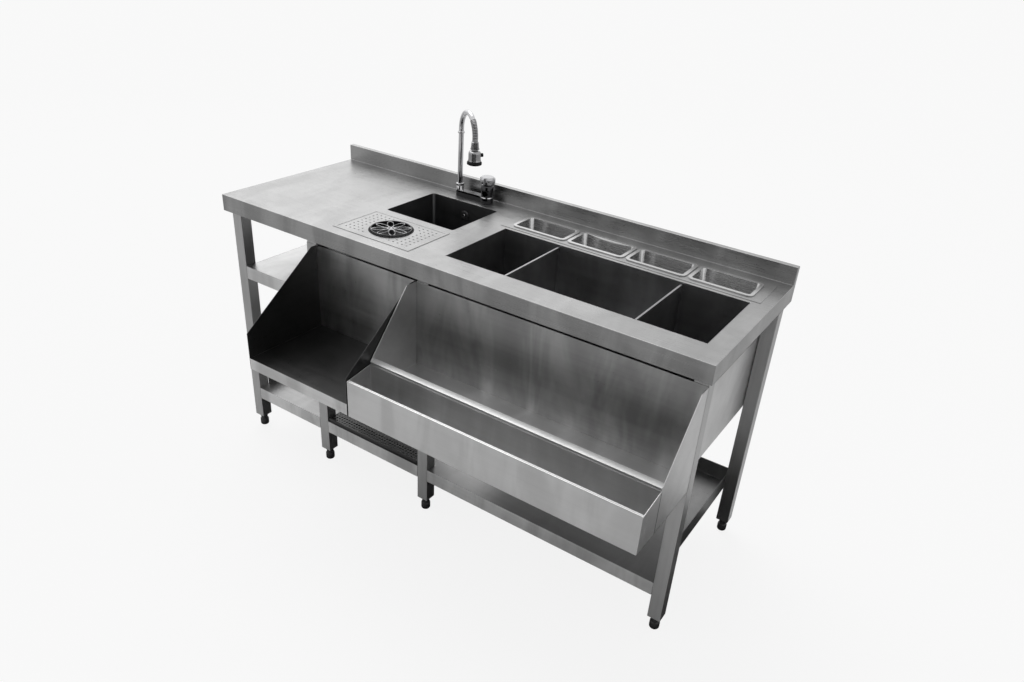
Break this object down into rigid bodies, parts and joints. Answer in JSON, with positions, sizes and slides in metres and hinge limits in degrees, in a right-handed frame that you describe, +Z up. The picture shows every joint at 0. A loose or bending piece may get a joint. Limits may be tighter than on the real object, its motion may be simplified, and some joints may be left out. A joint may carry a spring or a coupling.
{
  "type": "bar sink with ice bin",
  "caption": "Steel cocktail station: worktop with sink, glass rinser, ice bin, bottle wells, garnish pans and swing tap, on tube legs with shelves, a machine bay and a two-tier bottle rail.",
  "frame": {"origin": "floor level, at the centre of the plan outline of the table with its front unit", "axes": "+X along the front to the right of a person at the front, +Y to the wall behind, +Z up"},
  "size_m": [1.7, 0.865, 1.1985],
  "materials": {
    "deck_steel": "fine brushed along its length",
    "bowl_steel": "satin, drawn or welded",
    "sheet_steel": "satin sheet",
    "leg_steel": "brushed tube",
    "chrome": "polished",
    "black_plastic": "matt black"
  },
  "bodies": {
    "table": {"worktop": "deck_steel", "sink_bowl": "bowl_steel", "sink_waste": "chrome", "overflow_cap": "chrome", "rinser_tray": "bowl_steel", "rinser_plate": "bowl_steel", "rinser_body": "black_plastic", "rinser_nozzle": "chrome", "tap_body": "chrome", "tap_valve": "chrome", "ice_floor": "bowl_steel", "ice_front_wall": "bowl_steel", "ice_back_wall": "bowl_steel", "ice_left_wall": "bowl_steel", "ice_right_wall": "bowl_steel", "bin_casing": "bowl_steel", "bin_drain": "chrome", "garnish_frame": "bowl_steel", "leg_front_1": "leg_steel", "leg_front_2": "leg_steel", "leg_front_3": "leg_steel", "leg_front_4": "leg_steel", "leg_back_1": "leg_steel", "leg_back_2": "leg_steel", "leg_back_3": "leg_steel", "leg_back_4": "leg_steel", "lower_shelf": "sheet_steel", "mid_shelf": "sheet_steel", "unit_back": "sheet_steel", "machine_shelf": "sheet_steel", "bay_wall_left": "sheet_steel", "bay_wall_right": "sheet_steel", "rail_front": "sheet_steel", "rail_rear": "sheet_steel"},
    "spout": {"tap_spout": "chrome", "tap_spout_nut": "chrome", "tap_collar": "chrome", "tap_flex": "chrome"},
    "spray_head": {"tap_head": "chrome", "tap_head_rim": "black_plastic"},
    "spray_button": {"tap_button": "black_plastic"},
    "knob": {"tap_knob": "chrome"},
    "rinser_star": {"rinser_grate": "black_plastic"},
    "left_divider": {"divider_left": "sheet_steel"},
    "right_divider": {"divider_right": "sheet_steel"},
    "ice_rack": {"false_bottom": "bowl_steel"},
    "drainer": {"drainer_grid": "sheet_steel"},
    "pan_1": {"garnish_pan_1": "bowl_steel"},
    "pan_2": {"garnish_pan_2": "bowl_steel"},
    "pan_3": {"garnish_pan_3": "bowl_steel"},
    "pan_4": {"garnish_pan_4": "bowl_steel"},
    "foot_front_1_body": {"foot_front_1": "black_plastic"},
    "foot_front_2_body": {"foot_front_2": "black_plastic"},
    "foot_front_3_body": {"foot_front_3": "black_plastic"},
    "foot_front_4_body": {"foot_front_4": "black_plastic"},
    "foot_back_1_body": {"foot_back_1": "black_plastic"},
    "foot_back_2_body": {"foot_back_2": "black_plastic"},
    "foot_back_3_body": {"foot_back_3": "black_plastic"},
    "foot_back_4_body": {"foot_back_4": "black_plastic"}
  },
  "joints": [
    {"name": "spout_swing", "type": "hinge", "parent": "table", "child": "spout", "pos_m": [-0.304, 0.3775, 0.93], "axis": [0, 0, 1], "range_deg": [-110, 30]},
    {"name": "head_turn", "type": "hinge", "parent": "spout", "child": "spray_head", "pos_m": [-0.19497, 0.3067, 1.088], "axis": [0, 0, 1], "range_deg": [-90, 90]},
    {"name": "button_press", "type": "slide", "parent": "spray_head", "child": "spray_button", "axis": [-0.5446, -0.8387, 0], "range_m": [0, 0.003], "stiffness_N_per_m": 600, "springref_m": -0.002},
    {"name": "knob_turn", "type": "hinge", "parent": "table", "child": "knob", "pos_m": [-0.19, 0.3775, 0.97], "axis": [0, 0, 1], "range_deg": [0, 90]},
    {"name": "rinser_press", "type": "slide", "parent": "table", "child": "rinser_star", "axis": [0, 0, -1], "range_m": [0, 0.007], "stiffness_N_per_m": 1200, "springref_m": -0.003},
    {"name": "left_divider_lift", "type": "slide", "parent": "table", "child": "left_divider", "axis": [0, 0, 1], "range_m": [0, 0.31]},
    {"name": "right_divider_lift", "type": "slide", "parent": "table", "child": "right_divider", "axis": [0, 0, 1], "range_m": [0, 0.31]},
    {"name": "ice_rack_lift", "type": "slide", "parent": "table", "child": "ice_rack", "axis": [0, 0, 1], "range_m": [0, 0.31]},
    {"name": "drainer_pull", "type": "slide", "parent": "table", "child": "drainer", "axis": [0, -1, 0], "range_m": [0, 0.56]},
    {"name": "pan_1_lift", "type": "slide", "parent": "table", "child": "pan_1", "axis": [0, 0, 1], "range_m": [0, 0.1]},
    {"name": "pan_2_lift", "type": "slide", "parent": "table", "child": "pan_2", "axis": [0, 0, 1], "range_m": [0, 0.1]},
    {"name": "pan_3_lift", "type": "slide", "parent": "table", "child": "pan_3", "axis": [0, 0, 1], "range_m": [0, 0.1]},
    {"name": "pan_4_lift", "type": "slide", "parent": "table", "child": "pan_4", "axis": [0, 0, 1], "range_m": [0, 0.1]},
    {"name": "foot_front_1_turn", "type": "hinge", "parent": "table", "child": "foot_front_1_body", "pos_m": [-0.818, -0.1245, 0.03], "axis": [0, 0, 1], "range_deg": [-180, 180]},
    {"name": "foot_front_2_turn", "type": "hinge", "parent": "table", "child": "foot_front_2_body", "pos_m": [-0.473, -0.1245, 0.03], "axis": [0, 0, 1], "range_deg": [-180, 180]},
    {"name": "foot_front_3_turn", "type": "hinge", "parent": "table", "child": "foot_front_3_body", "pos_m": [-0.03, -0.1245, 0.03], "axis": [0, 0, 1], "range_deg": [-180, 180]},
    {"name": "foot_front_4_turn", "type": "hinge", "parent": "table", "child": "foot_front_4_body", "pos_m": [0.818, -0.1245, 0.03], "axis": [0, 0, 1], "range_deg": [-180, 180]},
    {"name": "foot_back_1_turn", "type": "hinge", "parent": "table", "child": "foot_back_1_body", "pos_m": [-0.818, 0.3995, 0.03], "axis": [0, 0, 1], "range_deg": [-180, 180]},
    {"name": "foot_back_2_turn", "type": "hinge", "parent": "table", "child": "foot_back_2_body", "pos_m": [-0.473, 0.3995, 0.03], "axis": [0, 0, 1], "range_deg": [-180, 180]},
    {"name": "foot_back_3_turn", "type": "hinge", "parent": "table", "child": "foot_back_3_body", "pos_m": [-0.03, 0.3995, 0.03], "axis": [0, 0, 1], "range_deg": [-180, 180]},
    {"name": "foot_back_4_turn", "type": "hinge", "parent": "table", "child": "foot_back_4_body", "pos_m": [0.818, 0.3995, 0.03], "axis": [0, 0, 1], "range_deg": [-180, 180]}
  ]
}
